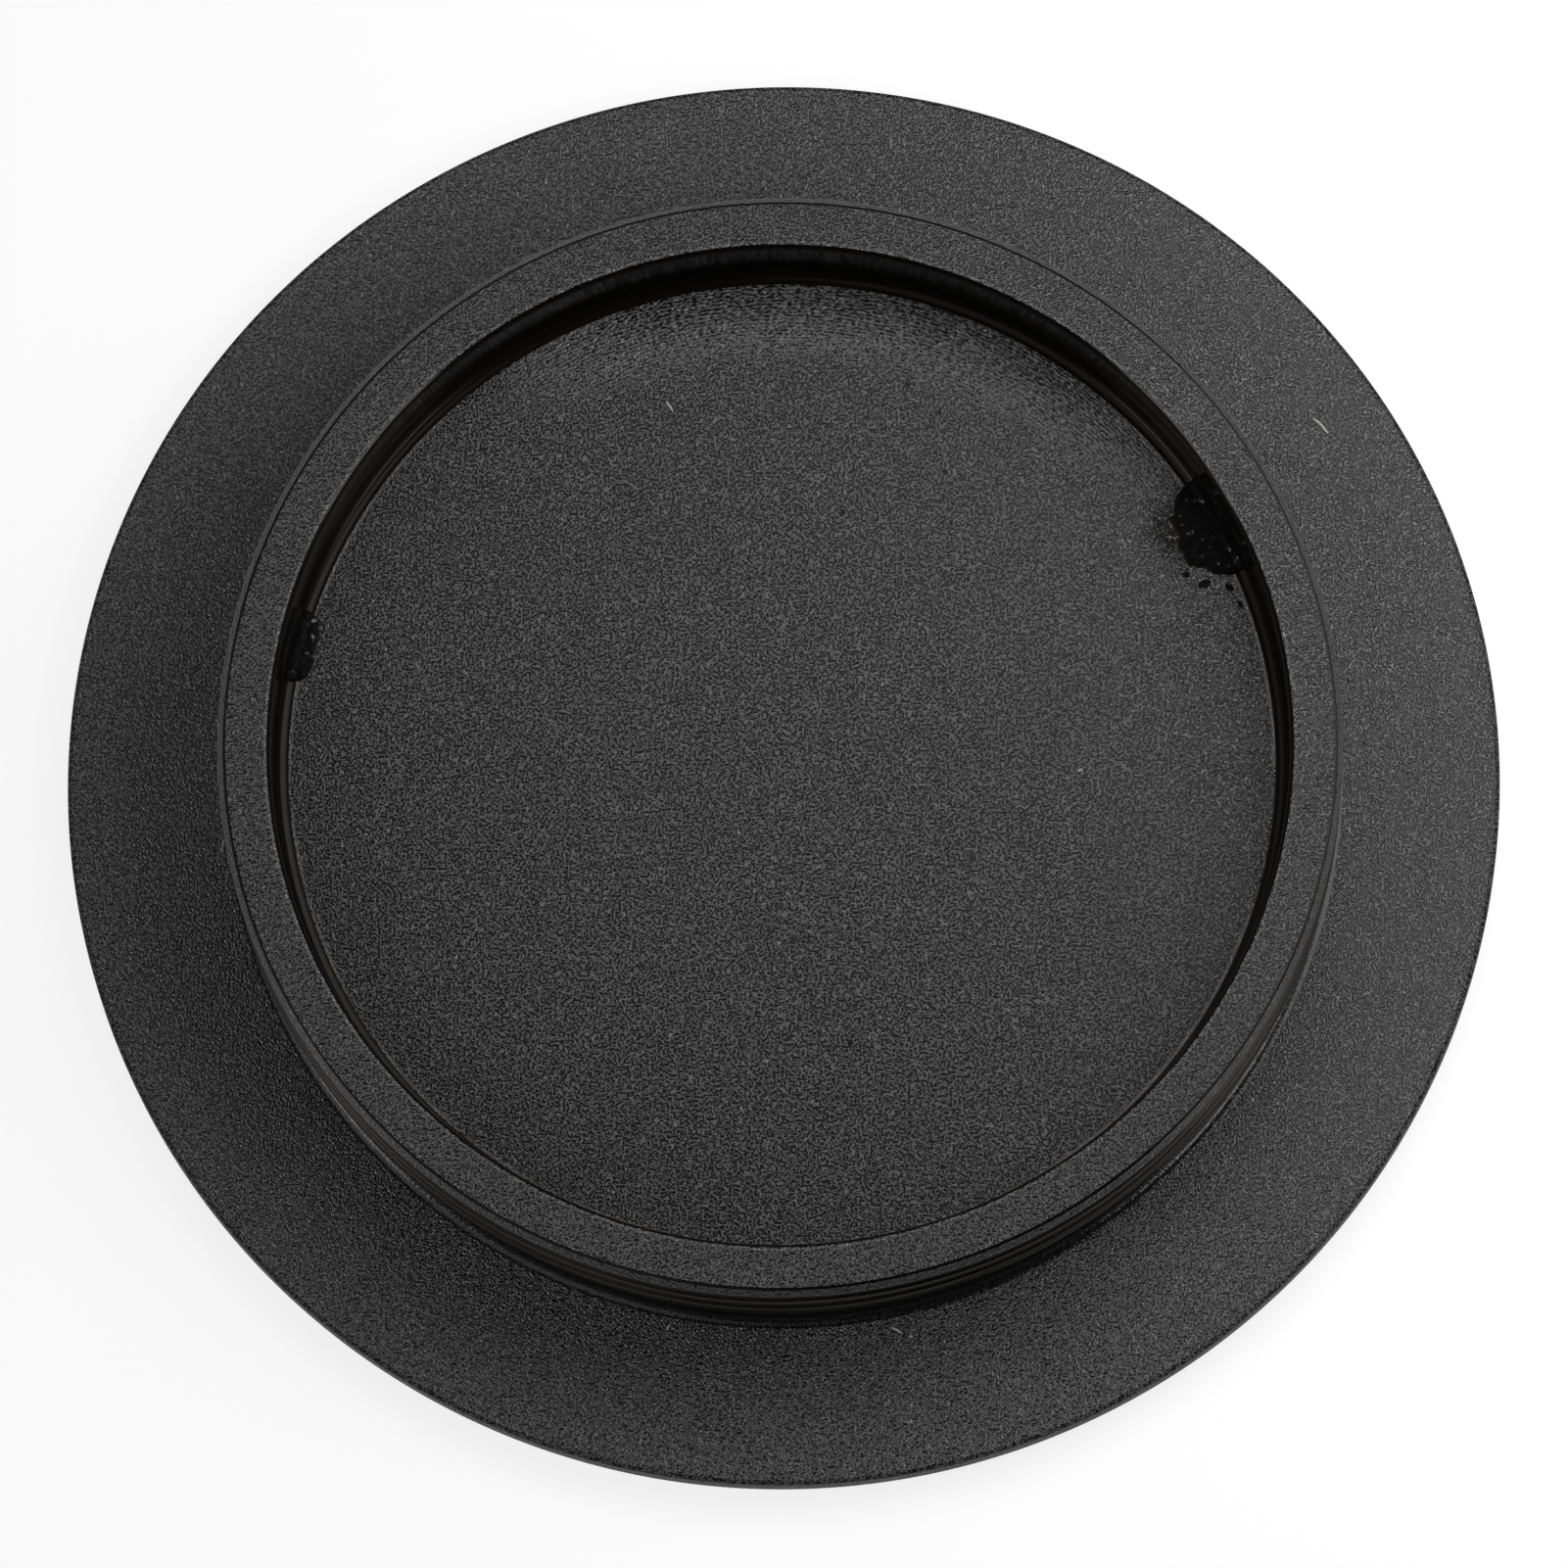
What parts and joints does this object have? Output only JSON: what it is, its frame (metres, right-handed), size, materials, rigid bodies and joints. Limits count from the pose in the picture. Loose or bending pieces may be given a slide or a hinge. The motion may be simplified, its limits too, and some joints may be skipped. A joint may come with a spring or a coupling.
{
  "type": "telescope lens cap",
  "caption": "Round black metal screw-in dust cap: thin flat flange, short externally threaded spigot with a shallow flat-floored recess, lying on its outer face.",
  "frame": {"origin": "centre of the flat outer face, on the turning axis, where the cap rests", "axes": "+Z along the turning axis, from the outer face out through the recess mouth; X and Y are free because the cap is round, and the picture looks roughly along +Y from above"},
  "size_m": [0.0326, 0.0326, 0.0048],
  "materials": {
    "black_anodised": "bead-blasted and black anodised, satin"
  },
  "bodies": {
    "root": {"lens_cap": "black_anodised"}
  },
  "joints": []
}
